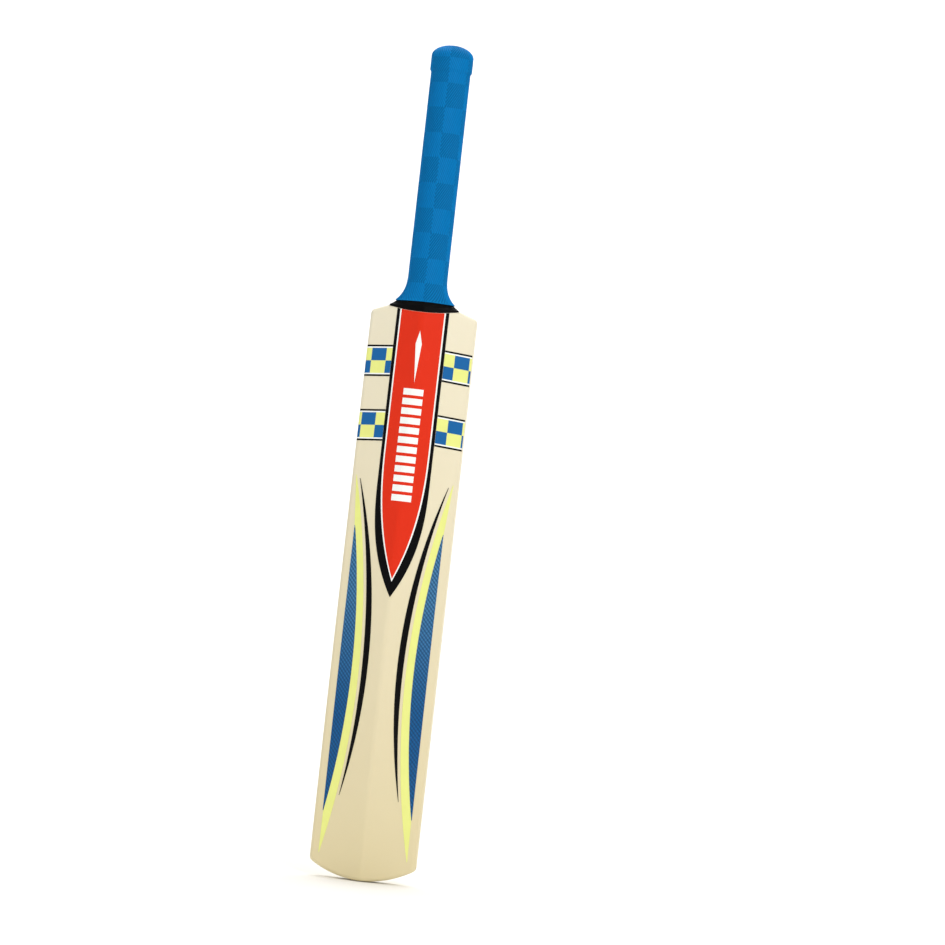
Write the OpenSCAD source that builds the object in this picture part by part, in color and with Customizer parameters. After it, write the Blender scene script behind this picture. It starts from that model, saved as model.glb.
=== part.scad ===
// Junior cricket bat: a hollow moulded blade and handle in one piece, a rubber grip drawn over the
// handle, a collar of tape over the grip's skirt, and printed films on the back of the blade.
// Frame: +Z runs up the handle, +X across the blade, the printed back faces -Y and the flat
// striking face +Y. The origin is on the handle's axis, half way down the grip.
// In the code, "drop" is a distance down from the top of the bat.

/* [Bat] */
// Length over everything, from the top of the grip to the middle of the toe
bat_len = 705; // [600:1:860]
// Width of the blade
blade_w = 90; // [78:1:108]
// Drop from the top of the bat to the top of the shoulders
handle_len = 222; // [190:0.5:270]

/* [Blade] */
// Thickness through the ridge, where the blade is thickest
spine_t = 30; // [26:0.5:40]
// Thickness of the edges, at the same height
edge_t = 14; // [12:0.5:18]
// Distance from the handle's axis forward to the striking face
face_y = 13; // [12:0.5:16]
// Height of the thickest place above the toe
swell_h = 221; // [150:1:280]
// How much thinner the blade is at the top of its shoulders than at the swell
shoulder_sag = 4.5; // [2:0.25:6]
// Share of the ridge's height over the edges that has gone at the toe
toe_fade = 0.5; // [0:0.05:0.7]
// Radius of the soft ridge down the back
ridge_r = 8; // [5:0.5:14]
// Radius along the back corners
edge_r = 4; // [3.5:0.25:6]
// Radius along the corners of the striking face
face_r = 2.5; // [1:0.25:4]
// Angle that the shoulders fall outwards
shoulder_angle = 19; // [10:1:35]
// Radius of the shoulder corners, seen from the back
shoulder_r = 4; // [2:0.5:8]
// How far the toe bulges below its corners
toe_sag = 13; // [8:0.5:22]
// Radius of the toe corners, seen from the back
toe_r = 4; // [2:0.5:8]
// Thickness of the moulded wall
wall = 3; // [2:0.1:3.6]

/* [Handle] */
// Diameter of the moulded handle inside the grip
core_d = 29; // [25:0.5:35]
// Width of the neck where it meets the shoulders
neck_w = 57.8; // [48:0.2:66]
// Length of the flared neck
neck_len = 31.5; // [24:0.5:40]
// Length of the wooden stiffener inside the handle
stiffener_len = 186; // [120:1:190]
// Clearance round the stiffener and round the plug's spigot
bore_clear = 0.1; // [0.05:0.01:0.2]
// Thickness of the end plug's flange
plug_flange_t = 2; // [1.5:0.1:3]
// Length of the end plug's spigot
plug_spigot_len = 7; // [5:0.5:10]

/* [Grip] */
// Length of the grip, from its top to the edge of its skirt
grip_len = 218; // [184:0.5:264]
// Thickness of the rubber on the handle
grip_t = 2.2; // [1.2:0.1:3]
// Thickness of the rubber over the handle's end
cap_top_t = 6.5; // [5.5:0.5:9]
// How far the cap stands out from the sleeve below it
cap_proud = 1.05; // [0.6:0.05:4]
// Height of that cap
cap_h = 22; // [18:0.5:30]
// Height of the cap's dome
dome_h = 10; // [6:0.5:12]
// Length of the bevel from the cap to the sleeve
cap_bevel = 1.5; // [0.5:0.1:3]

/* [Collar] */
// Thickness of the wound tape
tape_t = 0.4; // [0.2:0.05:0.8]
// How far the tape laps down the middle of the blade's back
lap_mid = 4.5; // [2:0.25:7]
// How far it laps down at its two ends
lap_end = 1.2; // [0.8:0.1:2]

/* [Films] */
// Thickness of the printed films
film_t = 0.2; // [0.1:0.05:0.3]
// Gap between neighbouring films
film_gap = 0.2; // [0.1:0.05:0.5]
// How far the films stop short of the blade's sides
film_edge = 0.4; // [0.2:0.1:2]
// Half the width of the spine film
spine_hw = 22; // [18:0.5:26]
// Drop from the shoulders to where the spine film starts to narrow, on the nominal blade
spine_straight = 145; // [110:0.5:160]
// Length of its pointed end, on the nominal blade
spine_point = 99.5; // [70:0.5:110]
// Height of the check bands, on the nominal blade
band_h = 26.5; // [20:0.5:30]
// Drop from the shoulders to the middle of each band at the spine film, on the nominal blade
band_drops = [47.5, 102];
// Angle that the bands fall outwards
band_slope = 4; // [0:0.5:8]

/* [Hidden] */
$fn = 96;

// Overall places. The handle's top is under the cap's rubber and the plug's flange.
function z_at(drop) = grip_len / 2 - drop;
z_toe = z_at(bat_len);
z_shoulder = z_at(handle_len);
z_swell = z_toe + swell_h;
z_neck = z_shoulder + neck_len;
hw = blade_w / 2;
core_r = core_d / 2;
sleeve_r = core_r + grip_t;
cap_half = sleeve_r + cap_proud;
bore_r = core_r - wall;
blade_len = bat_len - handle_len;

// The dome must cover the corner of the plug's flange, so it sets the least rubber above that.
corner_cover = 1;
corner_share = (core_r + corner_cover) / cap_half;
dome_cover = dome_h * (1 - sqrt(1 - corner_share * corner_share));
z_core_top = z_at(max(cap_top_t, dome_cover) + plug_flange_t);

// The back is bowed: one section follows an arc whose centre is far in front of the face.
bow_run = z_shoulder - z_swell;
bow_r = (bow_run * bow_run + shoulder_sag * shoulder_sag) / (2 * shoulder_sag);
bow_steps = 20;
bow_past = 10; // how far the form of the back runs past the blade's ends and its face

// The facets run from the edges up to the ridge's circle, and touch it. Below the swell the ridge
// sinks towards the toe, so their angle depends on the height.
function spine_at(z) =
    let (s = max(0, z_swell - z) / swell_h)
    spine_t - toe_fade * (spine_t - edge_t) * s * s;
function facet_angle(z) =
    let (rise = edge_t - (spine_at(z) - ridge_r))
    asin(ridge_r / norm([hw, rise])) - atan2(rise, hw);
toe_arc_r = (hw * hw + toe_sag * toe_sag) / (2 * toe_sag);
small_r = 0.4; // the least radius that a corner keeps inside the wall
ledge = 0.3; // how far the shoulders start below the end of the neck's flare
ledge_in = 0.8; // how far they run on up inside the neck
z_flat = z_shoulder - ledge + ledge_in; // top of the flat striking face
arc_steps = 6;
dome_steps = 16;
toe_steps = 24;

function arc(c, r, a0, a1, n) =
    [for (i = [0:n]) let (a = a0 + (a1 - a0) * i / n) [c[0] + r * cos(a), c[1] + r * sin(a)]];
function flip(p) = [for (i = [len(p) - 1:-1:0]) [-p[i][0], p[i][1]]];
function inner(p) = [for (i = [1:len(p) - 2]) p[i]];

// Depth behind the face of a facet that leans by a, at x, for a surface grown by t
function facet_depth(x, t, a) = edge_t + t / cos(a) + (hw - x) * tan(a);

// Back of the section at a height, as [x, depth], for a surface grown by t
function back_half(t, z) =
    let (
        a = facet_angle(z),
        re = max(edge_r + t, small_r),
        rr = max(ridge_r + t, small_r),
        ce = [hw + t - re, facet_depth(hw + t - re, t, a) - re / cos(a)],
        cr = [0, facet_depth(0, t, a) - rr / cos(a)]
    )
    concat(
        [[hw + t, -bow_past]],
        arc(ce, re, 0, 90 - a, arc_steps),
        arc(cr, rr, 90 - a, 90, arc_steps / 2)
    );

// Outline of the blade as [x, z], grown by t
function outline(t) =
    let (
        rs = max(shoulder_r + t, small_r),
        rt = max(toe_r + t, small_r),
        cs_x = hw + t - rs,
        fall = (cs_x - neck_w / 2) * sin(shoulder_angle),
        cs = [cs_x, z_shoulder - ledge + (t - rs - fall) / cos(shoulder_angle)],
        ct_x = hw + t - rt,
        far = toe_arc_r + t - rt,
        ct_a = -acos(ct_x / far),
        ct = [ct_x, z_toe + toe_arc_r + far * sin(ct_a)],
        top_x = neck_w / 2 - ledge_in / tan(shoulder_angle) + t * tan(shoulder_angle / 2),
        right = concat(
            arc(ct, rt, ct_a, 0, arc_steps),
            arc(cs, rs, 0, 90 - shoulder_angle, arc_steps),
            [[top_x, z_flat + t]]
        )
    )
    concat(
        right,
        flip(right),
        inner(arc([0, z_toe + toe_arc_r], toe_arc_r + t, 180 - ct_a, 360 + ct_a, toe_steps))
    );

// How far the bow brings the back forward at a height
function bow(z) = bow_r - sqrt(bow_r * bow_r - (z - z_swell) * (z - z_swell));

function back_ring(z, t) =
    let (half = back_half(t, z), section = concat(half, flip(inner(half)), [[-hw - t, -bow_past]]))
    [for (i = [len(section) - 1:-1:0]) [section[i][0], face_y - section[i][1] + bow(z), z]];

// The back, from above the shoulders to below the toe, grown by t
module bowed_back(t) {
    lofted([for (j = [0:bow_steps])
        back_ring(mix(z_shoulder + bow_past, z_toe - bow_past, j / bow_steps), t)]);
}

// Flat face with rounded corners, running the whole height
module face_prism(t) {
    r = max(face_r + t, small_r);
    corner = arc([hw + t - r, face_y + t - r], r, 0, 90, arc_steps);
    translate([0, 0, z_toe - bow_past])
        linear_extrude(blade_len + 2 * bow_past)
            polygon(concat(
                [[hw + t, -spine_t - bow_past]], corner, flip(corner), [[-hw - t, -spine_t - bow_past]]
            ));
}

module outline_prism(t) {
    rotate([90, 0, 0])
        linear_extrude(4 * spine_t, center = true)
            polygon(outline(t));
}

module blade_form(t) {
    intersection() {
        bowed_back(t);
        face_prism(t);
        outline_prism(t);
    }
}

// The neck changes from the round handle to a flat face with a ridged back. Each level is a
// superellipse whose sizes and powers follow one flare curve.
neck_sides = 48;
neck_levels = 9;
neck_step = 0.15; // the neck starts this much proud of the handle, so its flats clear it
flare_power = 3.5; // how late the neck widens
face_power = 3.2; // squareness of its front at the shoulders
ridge_power = 1.14; // sharpness of its ridged back there
ridge_y = face_y - spine_t + bow(z_shoulder);

function flare(z) = pow(min(1, max(0, (z_neck - z) / neck_len)), flare_power);
function mix(a, b, k) = a + (b - a) * k;
function bent(v, power) = sign(v) * pow(abs(v), 2 / power);
function neck_ring(z, t) =
    let (k = flare(z), r = core_r + neck_step + t)
    [for (i = [0:neck_sides - 1])
        let (
            a = 360 * i / neck_sides,
            power = mix(2, sin(a) > 0 ? face_power : ridge_power, k),
            depth = sin(a) > 0 ? mix(r, face_y + t, k) : mix(r, -ridge_y + t, k)
        )
        [mix(r, neck_w / 2 + t, k) * bent(cos(a), power), depth * bent(sin(a), power), z]];

module lofted(rings) {
    n = len(rings[0]);
    m = len(rings);
    polyhedron(
        [for (ring = rings) each ring],
        concat(
            [[for (i = [n - 1:-1:0]) i]],
            [for (j = [0:m - 2], i = [0:n - 1]) each [
                [j * n + i, (j + 1) * n + (i + 1) % n, (j + 1) * n + i],
                [j * n + i, j * n + (i + 1) % n, (j + 1) * n + (i + 1) % n]
            ]],
            [[for (i = [0:n - 1]) (m - 1) * n + i]]
        )
    );
}

// The neck from z_high down to z_low, grown by t. With a root it runs on and narrows below that.
module neck(t, z_high, z_low, root = 0) {
    rings = [for (j = [0:neck_levels]) neck_ring(mix(z_high, z_low, j / neck_levels), t)];
    lofted(root > 0 ? concat(rings, [neck_ring(z_low - root, t - root)]) : rings);
}

module handle_form() {
    root = 3; // how far the handle and the neck run on inside what holds them
    translate([0, 0, z_neck - root])
        cylinder(h = z_core_top - z_neck + root, r = core_r);
    neck(0, z_neck, z_shoulder, root);
}

module body_form() {
    blade_form(0);
    handle_form();
}

// The bore narrows in the neck, which makes the stiffener's seat, and opens into the blade.
seat_w = 2; // least width of the seat that the stiffener stands on
plug_gap = 1; // room between the stiffener and the plug's spigot
past = 1; // how far one form runs past another that it cuts or joins
throat_r = min(8, bore_r - seat_w);
z_seat = z_core_top - plug_spigot_len - plug_gap - stiffener_len;
z_throat = z_shoulder - 2 * wall;
module handle_bore() {
    translate([0, 0, z_seat])
        cylinder(h = z_core_top - z_seat + past, r = bore_r);
    translate([0, 0, z_seat - (bore_r - throat_r)])
        cylinder(h = bore_r - throat_r, r1 = throat_r, r2 = bore_r);
    translate([0, 0, z_throat])
        cylinder(h = z_seat - z_throat, r = throat_r);
}

module blade_body() {
    color([0.93, 0.88, 0.76])
        difference() {
            body_form();
            blade_form(-wall);
            handle_bore();
        }
}

module handle_stiffener() {
    color([0.79, 0.62, 0.42])
        translate([0, 0, z_seat])
            cylinder(h = stiffener_len, r = bore_r - bore_clear);
}

module handle_end_plug() {
    color([0.2, 0.2, 0.21]) {
        translate([0, 0, z_core_top])
            cylinder(h = plug_flange_t, r = core_r);
        translate([0, 0, z_core_top - plug_spigot_len])
            cylinder(h = plug_spigot_len, r = bore_r - bore_clear);
    }
}

// Outside of the grip: a domed cap, a bevel down to the sleeve, and the skirt over the neck
module grip_form() {
    z_cap = z_at(cap_h);
    z_sleeve = z_at(cap_h + cap_bevel);
    dome = [for (p = arc([0, 0], 1, 90, 0, dome_steps)) [cap_half * p[0], z_at(dome_h * (1 - p[1]))]];
    rotate_extrude()
        polygon(concat(
            dome,
            [[cap_half, z_cap], [sleeve_r, z_sleeve], [sleeve_r, z_neck - past], [0, z_neck - past]]
        ));
    neck(grip_t, z_neck, z_at(grip_len));
}

module grip() {
    color([0.0, 0.44, 0.72])
        difference() {
            grip_form();
            handle_form();
            translate([0, 0, z_core_top])
                cylinder(h = plug_flange_t, r = core_r);
        }
}

// Tape wound round the neck, from the grip's edge down over the shoulders' inner ends. It laps
// onto the back only and ends above the flat striking face, so nothing stands proud of that. The
// lap's edge is a shallow arc, lowest in the middle.
reach = neck_w / 2 + tape_t;
lap_steps = 12;
function lap_z(x) = z_shoulder - lap_mid + (lap_mid - lap_end) * pow(x / reach, 2);
function lap_edge(half) =
    [for (i = [0:lap_steps]) let (x = mix(-half, half, i / lap_steps)) [x, lap_z(x)]];

module collar_tape() {
    z_high = z_flat + tape_t;
    color([0.1, 0.1, 0.11])
        difference() {
            union() {
                neck(tape_t, z_at(grip_len), z_flat);
                intersection() {
                    bowed_back(tape_t);
                    face_prism(tape_t);
                    rotate([90, 0, 0])
                        linear_extrude(spine_t)
                            polygon(concat(lap_edge(reach), [[reach, z_high], [-reach, z_high]]));
                }
            }
            body_form();
        }
}

// A film is the part of the back's skin inside an outline given as [x, z].
module film(points) {
    difference() {
        intersection() {
            bowed_back(film_t);
            translate([0, face_y - edge_t / 2, 0])
                rotate([90, 0, 0])
                    linear_extrude(2 * spine_t)
                        polygon(points);
        }
        bowed_back(0);
    }
}

// The films are drawn on a nominal blade, and stretched with the real one.
nominal_len = 483;
nominal_w = 90;
kx = blade_w / nominal_w;
kz = blade_len / nominal_len;
function print_z(below) = z_shoulder - below * kz;
film_hw = hw - film_edge;
curve_steps = 20;

// Half width of the spine film, a share s of the way down its pointed end
point_power = 2.7;
function spine_half(s) = spine_hw * kx * (1 - pow(s, point_power));
module spine_film() {
    top = [for (p = lap_edge(spine_half(0))) [p[0], p[1] - film_gap]];
    side = [for (i = [0:curve_steps - 1]) let (s = i / curve_steps)
        [spine_half(s), print_z(spine_straight + s * spine_point)]];
    color([0.88, 0.18, 0.13])
        film(concat([[0, print_z(spine_straight + spine_point)]], flip(side), top, side));
}

module check_film(side, n) {
    x_in = spine_hw * kx + film_gap;
    fall = (film_hw - x_in) * tan(band_slope);
    z_top = print_z(band_drops[n] - band_h / 2);
    z_low = print_z(band_drops[n] + band_h / 2);
    color([0.2, 0.4, 0.62])
        film([
            [side * x_in, z_low], [side * film_hw, z_low - fall],
            [side * film_hw, z_top - fall], [side * x_in, z_top]
        ]);
}

// Circle through three points, as [centre x, centre z, radius], and the arc along it
function circle3(p, q, s) =
    let (
        a = q - p, b = s - p,
        d = 2 * (a[0] * b[1] - a[1] * b[0]),
        ux = (b[1] * (a * a) - a[1] * (b * b)) / d,
        uz = (a[0] * (b * b) - b[0] * (a * a)) / d
    )
    [p[0] + ux, p[1] + uz, norm([ux, uz])];
// Offset from the blade's middle of the arc through three points [below, offset], at a drop
function on_arc(pts, below) =
    let (c = circle3(pts[0], pts[1], pts[2]))
    c[1] - sqrt(c[2] * c[2] - (below - c[0]) * (below - c[0])) * sign(c[1] - pts[1][1]);
function curve(pts, from, to) =
    [for (i = [0:curve_steps]) let (b = mix(from, to, i / curve_steps)) [b, on_arc(pts, b)]];

// A flash is given by two edges as lists of [below the shoulders, offset from the middle].
module flash(side, outer, inner_edge) {
    film([for (p = concat(outer, [for (i = [len(inner_edge) - 1:-1:0]) inner_edge[i]]))
        [side * p[1] * kx, print_z(p[0])]]);
}

// Each edge of the flashes is the arc through its two ends and its middle
blue_in = [[187.8, 37.3], [306, 26.2], [428, 37.3]];
yellow_in = [[145.8, 40.9], [304.6, 19.9], [463.3, 37.2]];
black_out = [[148.3, 37.7], [304.6, 17.3], [413.7, 25.3]];
black_in = [[148.3, 37.3], [313, 12.5], [413.7, 25]];
flash_tip = 0.4; // width that a flash keeps at its tips

module blue_flash(side) {
    x_out = blue_in[0][1] + flash_tip;
    color([0.13, 0.39, 0.62])
        flash(side, [[blue_in[0][0], x_out], [blue_in[2][0], x_out]],
            curve(blue_in, blue_in[0][0], blue_in[2][0]));
}

module yellow_flash(side) {
    b = blue_in;
    y = yellow_in;
    outer = concat(
        [[y[0][0], y[0][1] + flash_tip], [b[0][0] - film_gap, b[0][1] + flash_tip]],
        [for (p = curve(b, b[0][0], b[2][0])) [p[0], p[1] - film_gap]],
        [[b[2][0] + film_gap, b[2][1] + flash_tip], [y[2][0], y[2][1] + flash_tip]]
    );
    color([0.89, 0.92, 0.5])
        flash(side, outer, curve(y, y[0][0], y[2][0]));
}

module black_flash(side) {
    color([0.12, 0.12, 0.13])
        flash(side, curve(black_out, black_out[0][0], black_out[2][0]),
            curve(black_in, black_in[0][0], black_in[2][0]));
}

blade_body();
handle_stiffener();
handle_end_plug();
grip();
collar_tape();
spine_film();
check_film(-1, 0);  // check_film_upper_left
check_film(1, 0);  // check_film_upper_right
check_film(-1, 1);  // check_film_lower_left
check_film(1, 1);  // check_film_lower_right
blue_flash(-1);  // blue_flash_left
blue_flash(1);  // blue_flash_right
yellow_flash(-1);  // yellow_flash_left
yellow_flash(1);  // yellow_flash_right
black_flash(-1);  // black_flash_left
black_flash(1);  // black_flash_right
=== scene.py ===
import math

import bmesh
import bpy
import numpy as np
from mathutils import Matrix, Vector


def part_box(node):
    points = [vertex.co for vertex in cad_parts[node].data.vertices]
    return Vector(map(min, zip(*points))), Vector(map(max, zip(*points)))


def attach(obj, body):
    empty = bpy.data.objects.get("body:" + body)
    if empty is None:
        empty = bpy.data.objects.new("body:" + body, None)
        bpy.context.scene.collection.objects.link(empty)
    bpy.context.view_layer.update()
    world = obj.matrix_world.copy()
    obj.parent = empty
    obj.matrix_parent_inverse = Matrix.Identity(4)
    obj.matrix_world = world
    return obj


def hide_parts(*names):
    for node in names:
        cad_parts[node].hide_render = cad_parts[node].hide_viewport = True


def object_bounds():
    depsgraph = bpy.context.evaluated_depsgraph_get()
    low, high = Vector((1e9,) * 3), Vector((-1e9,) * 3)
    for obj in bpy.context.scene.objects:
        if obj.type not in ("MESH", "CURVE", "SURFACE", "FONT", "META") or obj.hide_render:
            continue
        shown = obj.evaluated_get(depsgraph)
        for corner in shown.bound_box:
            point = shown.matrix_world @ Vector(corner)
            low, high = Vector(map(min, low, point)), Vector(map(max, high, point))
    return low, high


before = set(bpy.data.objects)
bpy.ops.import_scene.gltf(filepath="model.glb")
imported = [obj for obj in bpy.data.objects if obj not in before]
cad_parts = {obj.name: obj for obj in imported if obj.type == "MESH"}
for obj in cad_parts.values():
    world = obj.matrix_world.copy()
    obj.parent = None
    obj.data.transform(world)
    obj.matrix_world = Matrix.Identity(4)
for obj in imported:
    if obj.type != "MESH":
        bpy.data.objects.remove(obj)        # metres: +Z runs up the handle, the printed back faces -Y
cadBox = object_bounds()
scene = bpy.context.scene
scene.view_settings.view_transform = "Standard"
mm = 0.001

# Camera and light

studio = {
    "azimuth": 6.0,  # degrees round from square on to the back
    "elevation": -1.5,
    "lean": 6.42,  # degrees that the bat leans to the right in the view
    "lens": 130.0,  # mm, a long portrait lens
    "fill": 0.8887,  # share of the view's height that the bat takes
    "offset": (-0.0692, 0.0111),  # bat's middle from the view's, as a share of its side
    "backdrop": "#F4F3F1",
    "backdropGrain": "#F6F5F3",
    "keyPower": 29.0,  # watts
    "fillPower": 7.0,
    "rimPower": 0.5,
    "overheadPower": 22.0,
    "backdropPower": 70.0,
    "worldLevel": 0.48,
}


def linearHex(code):
    parts = [int(code[i:i + 2], 16) / 255 for i in (1, 3, 5)]
    return [c / 12.92 if c <= 0.04045 else ((c + 0.055) / 1.055) ** 2.4 for c in parts] + [1.0]


def addNode(tree, kind, settings=None, inputs=None):
    made = tree.nodes.new(kind)
    for name, value in (settings or {}).items():
        setattr(made, name, value)
    for name, value in (inputs or {}).items():
        if isinstance(value, bpy.types.NodeSocket):
            tree.links.new(value, made.inputs[name])
        else:
            made.inputs[name].default_value = value
    return made


def startMaterial(name, **shaderValues):
    made = bpy.data.materials.new(name)
    made.use_nodes = True
    tree = made.node_tree
    shader = tree.nodes["Principled BSDF"]
    for socket, value in shaderValues.items():
        shader.inputs[socket.replace("_", " ")].default_value = value
    return made, tree, shader


def placeCamera():
    low, high = cadBox
    middle = (low + high) / 2
    height = high.z - low.z
    a, e = math.radians(studio["azimuth"]), math.radians(studio["elevation"])
    back = Vector((math.sin(a) * math.cos(e), -math.cos(a) * math.cos(e), math.sin(e)))
    data = bpy.data.cameras.new("studioCamera")
    data.lens = studio["lens"]
    camera = bpy.data.objects.new("studioCamera", data)
    scene.collection.objects.link(camera)
    seen = height * math.cos(e) / studio["fill"]  # what the view's side spans at the bat
    distance = seen * data.lens / data.sensor_width
    lean = math.radians(studio["lean"])
    turn = (-back).to_track_quat("-Z", "Y").to_matrix() @ Matrix.Rotation(lean, 3, "Z")
    right, up = turn.col[0], turn.col[1]
    aim = middle - right * (studio["offset"][0] * seen) - up * (studio["offset"][1] * seen)
    camera.location = middle + back * distance
    toAim = (aim - camera.location).normalized()
    camera.rotation_mode = "QUATERNION"
    # swing the levelled, leaning camera from the bat's middle to the aim
    swing = (-back).rotation_difference(toAim)
    camera.rotation_quaternion = swing @ turn.to_quaternion()
    scene.camera = camera
    return middle


def addLight(name, power, size, place, target, colour="#FFFFFF"):
    data = bpy.data.lights.new(name, "AREA")
    data.shape = "RECTANGLE"
    data.size, data.size_y = size
    data.energy = power
    data.color = linearHex(colour)[:3]
    lamp = bpy.data.objects.new(name, data)
    lamp.location = place
    lamp.rotation_mode = "QUATERNION"
    lamp.rotation_quaternion = (Vector(target) - Vector(place)).to_track_quat("-Z", "Y")
    scene.collection.objects.link(lamp)


def buildStudio(middle):
    floorZ = cadBox[0].z - 0.5 * mm
    sweep = {"front": -6.0, "wall": 3.2, "radius": 1.6, "height": 6.0, "halfWidth": 7.0}
    profile = [(sweep["front"], floorZ), (sweep["wall"] - sweep["radius"], floorZ)]
    for i in range(1, 17):
        t = math.radians(90 * i / 16)
        profile.append((sweep["wall"] - sweep["radius"] * (1 - math.sin(t)),
                        floorZ + sweep["radius"] * (1 - math.cos(t))))
    profile.append((sweep["wall"], floorZ + sweep["height"]))
    points = [(x, y, z) for y, z in profile for x in (-sweep["halfWidth"], sweep["halfWidth"])]
    faces = [(2 * i, 2 * i + 1, 2 * i + 3, 2 * i + 2) for i in range(len(profile) - 1)]
    mesh = bpy.data.meshes.new("paperSweep")
    mesh.from_pydata(points, [], faces)
    mesh.shade_smooth()
    sheet = bpy.data.objects.new("paperSweep", mesh)
    scene.collection.objects.link(sheet)
    # Seamless background paper: matt, so it takes light evenly and shows no shine
    paper, tree, shader = startMaterial("seamlessPaper", Roughness=0.95)
    grain = addNode(tree, "ShaderNodeTexNoise", inputs={"Scale": 40.0, "Detail": 4.0})
    shade = addNode(tree, "ShaderNodeMix", {"data_type": "RGBA"}, {"Factor": grain.outputs["Fac"]})
    shade.inputs["A"].default_value = linearHex(studio["backdrop"])
    shade.inputs["B"].default_value = linearHex(studio["backdropGrain"])
    tree.links.new(shade.outputs["Result"], shader.inputs["Base Color"])
    mesh.materials.append(paper)

    world = bpy.data.worlds.new("studioWorld")
    world.use_nodes = True
    sky = world.node_tree.nodes["Background"]
    sky.inputs["Color"].default_value = (1, 1, 1, 1)
    sky.inputs["Strength"].default_value = studio["worldLevel"]
    scene.world = world
    # the key is a little warm; it stands to the right, the fill to the left, both above the bat
    addLight("keySoftbox", studio["keyPower"], (1.1, 1.5),
             middle + Vector((1.2, -1.8, 1.4)), middle, "#FFFBF5")
    addLight("fillSoftbox", studio["fillPower"], (1.0, 1.4), middle + Vector((-1.6, -1.45, 1.4)), middle)
    addLight("rimSoftbox", studio["rimPower"], (0.6, 1.6), middle + Vector((1.6, 0.9, 0.8)), middle)
    addLight("overheadSoftbox", studio["overheadPower"], (3.0, 2.4), (0, 0.4, 2.0), (0, 0.4, -1.0))
    addLight("backdropLight", studio["backdropPower"], (4.0, 1.5), (0, 1.2, 2.6), (0, 3.2, 0.2))


middle = placeCamera()
buildStudio(middle)
print("stage: camera, sweep and lights")

# The moulding's shape, in mm. The places come from the frame, and the sizes are those of the moulding.

moulding = {
    "spine": 30.0,  # thickness through the ridge at the swell
    "edge": 14.0,  # thickness of the edges there
    "face": 13.0,  # handle's axis to the striking face
    "swell": 221.0,  # height of the swell above the toe
    "sag": 4.5,  # how much thinner the shoulders are
    "ridgeRadius": 8.0,
    "edgeRadius": 4.0,
    "faceRadius": 2.5,
    "rimRadius": 3.0,  # rounding along the toe and the shoulders, on the back
    "shoulderAngle": 19.0,
    "shoulderRadius": 4.0,
    "toeSag": 13.0,
    "toeFade": 0.5,  # share of the ridge's height over the edges that has gone at the toe
    "toeRadius": 4.0,
    "core": 14.5,  # radius of the handle inside the grip
    "neckHalf": 28.9,  # half the neck's width at the shoulders
    "neckLength": 31.5,
    "flarePower": 3.5,
    "facePower": 3.2,
    "ridgePower": 1.14,
    "partingDepth": 0.16,  # of the two fine grooves beside the mould's parting line
}


def boxMm(node):
    low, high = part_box(node)
    return low / mm, high / mm


bladeLow, bladeHigh = boxMm("blade_body")
collarLow = boxMm("collar_tape")[0]
gripLow, gripHigh = boxMm("grip")
zToe = bladeLow.z
halfWidth = bladeHigh.x
tapeLap = {"middle": 4.5, "end": 1.2}  # how far the collar's tape laps down the back
zShoulder = collarLow.z + tapeLap["middle"]
zNeck = zShoulder + moulding["neckLength"]
zSwell = zToe + moulding["swell"]
bowRun = zShoulder - zSwell
bowRadius = (bowRun ** 2 + moulding["sag"] ** 2) / (2 * moulding["sag"])
toeArc = (halfWidth ** 2 + moulding["toeSag"] ** 2) / (2 * moulding["toeSag"])


def bow(z):
    return bowRadius - np.sqrt(bowRadius ** 2 - (z - zSwell) ** 2)


# Angle that the facets lean by at z: they flatten towards the toe, where the ridge sinks
def facetAngle(z):
    sunk = np.maximum(0, zSwell - z) / moulding["swell"]
    spine = moulding["spine"] - moulding["toeFade"] * (moulding["spine"] - moulding["edge"]) * sunk ** 2
    rise = moulding["edge"] - (spine - moulding["ridgeRadius"])
    return np.arcsin(moulding["ridgeRadius"] / np.hypot(halfWidth, rise)) - np.arctan2(rise, halfWidth)


# y of the ridged back at x and z, for a surface grown by some mm: flat facets, a soft ridge
# and rounded edges
def backY(x, z, grown=0.0):
    x = np.abs(np.asarray(x, float))
    lean = facetAngle(np.asarray(z, float))
    slope, leanCos, leanSin = np.tan(lean), np.cos(lean), np.sin(lean)
    edgeR, ridgeR = moulding["edgeRadius"] + grown, moulding["ridgeRadius"] + grown
    depth = moulding["edge"] + grown / leanCos + (halfWidth - x) * slope
    ridgeMiddle = moulding["edge"] + grown / leanCos + halfWidth * slope - ridgeR / leanCos
    onRidge = ridgeMiddle + np.sqrt(np.maximum(ridgeR ** 2 - x ** 2, 0))
    depth = np.where(x < ridgeR * leanSin, onRidge, depth)
    edgeX = halfWidth + grown - edgeR
    edgeMiddle = moulding["edge"] + grown / leanCos + (halfWidth - edgeX) * slope - edgeR / leanCos
    onEdge = edgeMiddle + np.sqrt(np.maximum(edgeR ** 2 - (x - edgeX) ** 2, 0))
    depth = np.where(x > edgeX + edgeR * leanSin, onEdge, depth)
    return moulding["face"] - depth + bow(np.asarray(z, float))


ridgeY = float(backY(0, zShoulder))


def flare(z):
    return min(1.0, max(0.0, (zNeck - z) / moulding["neckLength"])) ** moulding["flarePower"]


def mix(a, b, k):
    return a + (b - a) * k


# Ring round the neck at z: a circle on the handle that flattens to the blade's ridged section
def neckRing(z, grown, angles):
    k = flare(z)
    r = moulding["core"] + grown
    c, s = np.cos(angles), np.sin(angles)
    powers = np.where(s > 0, mix(2, moulding["facePower"], k), mix(2, moulding["ridgePower"], k))
    depths = np.where(s > 0, mix(r, moulding["face"] + grown, k), mix(r, -ridgeY + grown, k))
    x = mix(r, moulding["neckHalf"] + grown, k) * np.sign(c) * np.abs(c) ** (2 / powers)
    y = depths * np.sign(s) * np.abs(s) ** (2 / powers)
    return x, y


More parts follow.
